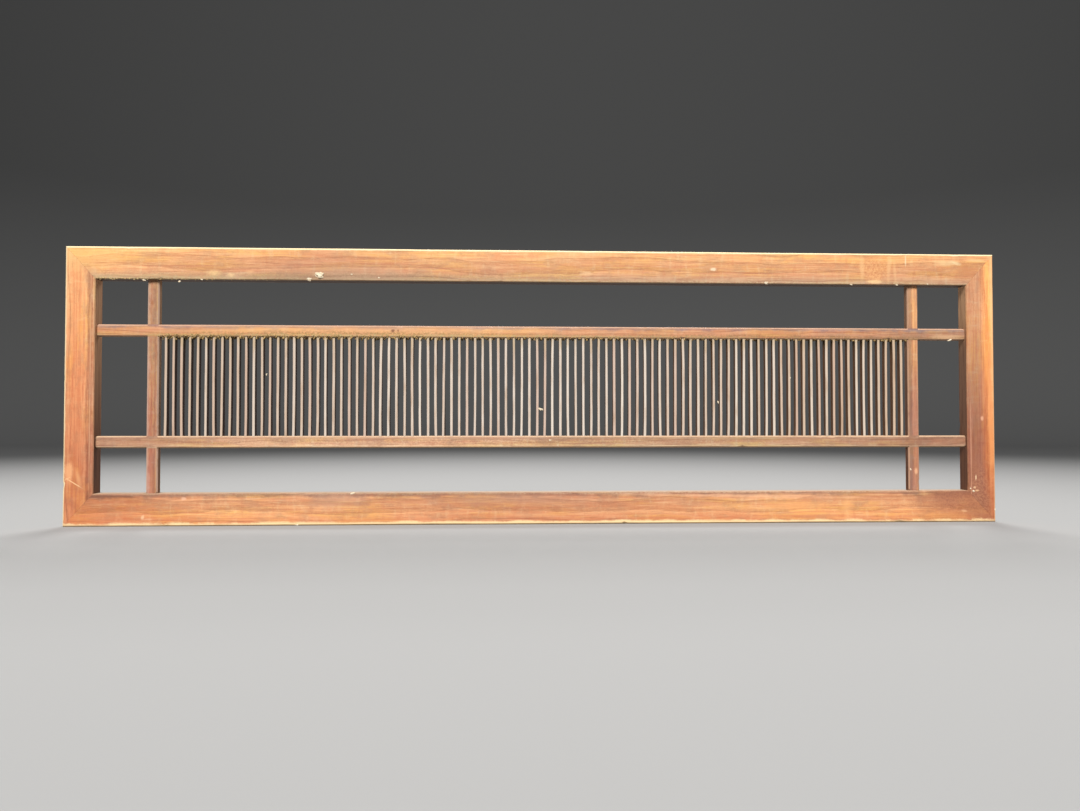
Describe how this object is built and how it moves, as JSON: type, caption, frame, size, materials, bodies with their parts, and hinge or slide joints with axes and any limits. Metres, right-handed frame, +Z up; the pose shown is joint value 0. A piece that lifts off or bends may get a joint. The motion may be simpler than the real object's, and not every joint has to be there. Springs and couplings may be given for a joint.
{
  "type": "transom lattice panel",
  "caption": "Long wooden ventilation panel: a mitred frame round a lattice of two rails and two posts, with a close row of thin upright slats between the rails.",
  "frame": {"origin": "middle of the bottom edge, half way through the panel's thickness", "axes": "+X along the panel to the right as seen from the front, +Y through the panel towards its back, +Z up"},
  "size_m": [0.9, 0.015, 0.265],
  "materials": {
    "frame_wood": "aged softwood with a worn reddish-brown stain, satin",
    "lattice_wood": "aged brown softwood, dusty, matte",
    "slat_wood": "thin greyed softwood slats, dusty, matte"
  },
  "bodies": {
    "root": {"top_frame_rail": "frame_wood", "bottom_frame_rail": "frame_wood", "left_stile": "frame_wood", "right_stile": "frame_wood", "upper_lattice_rail": "lattice_wood", "lower_lattice_rail": "lattice_wood", "left_lattice_post": "lattice_wood", "right_lattice_post": "lattice_wood", "slat_pair_01": "slat_wood", "slat_pair_02": "slat_wood", "slat_pair_03": "slat_wood", "slat_pair_04": "slat_wood", "slat_pair_05": "slat_wood", "slat_pair_06": "slat_wood", "slat_pair_07": "slat_wood", "slat_pair_08": "slat_wood", "slat_pair_09": "slat_wood", "slat_pair_10": "slat_wood", "slat_pair_11": "slat_wood", "slat_pair_12": "slat_wood", "slat_pair_13": "slat_wood", "slat_pair_14": "slat_wood", "slat_pair_15": "slat_wood", "slat_pair_16": "slat_wood", "slat_pair_17": "slat_wood", "slat_pair_18": "slat_wood", "slat_pair_19": "slat_wood", "slat_pair_20": "slat_wood", "slat_pair_21": "slat_wood", "slat_pair_22": "slat_wood", "slat_pair_23": "slat_wood", "slat_pair_24": "slat_wood", "slat_pair_25": "slat_wood", "slat_pair_26": "slat_wood", "slat_pair_27": "slat_wood", "slat_pair_28": "slat_wood", "slat_pair_29": "slat_wood", "slat_pair_30": "slat_wood", "slat_pair_31": "slat_wood", "slat_pair_32": "slat_wood", "slat_pair_33": "slat_wood", "slat_pair_34": "slat_wood", "slat_pair_35": "slat_wood", "slat_pair_36": "slat_wood", "slat_pair_37": "slat_wood", "slat_pair_38": "slat_wood", "slat_pair_39": "slat_wood", "slat_pair_40": "slat_wood", "slat_pair_41": "slat_wood", "slat_pair_42": "slat_wood", "slat_pair_43": "slat_wood", "slat_pair_44": "slat_wood", "slat_pair_45": "slat_wood", "slat_pair_46": "slat_wood", "slat_pair_47": "slat_wood", "slat_pair_48": "slat_wood"}
  },
  "joints": []
}
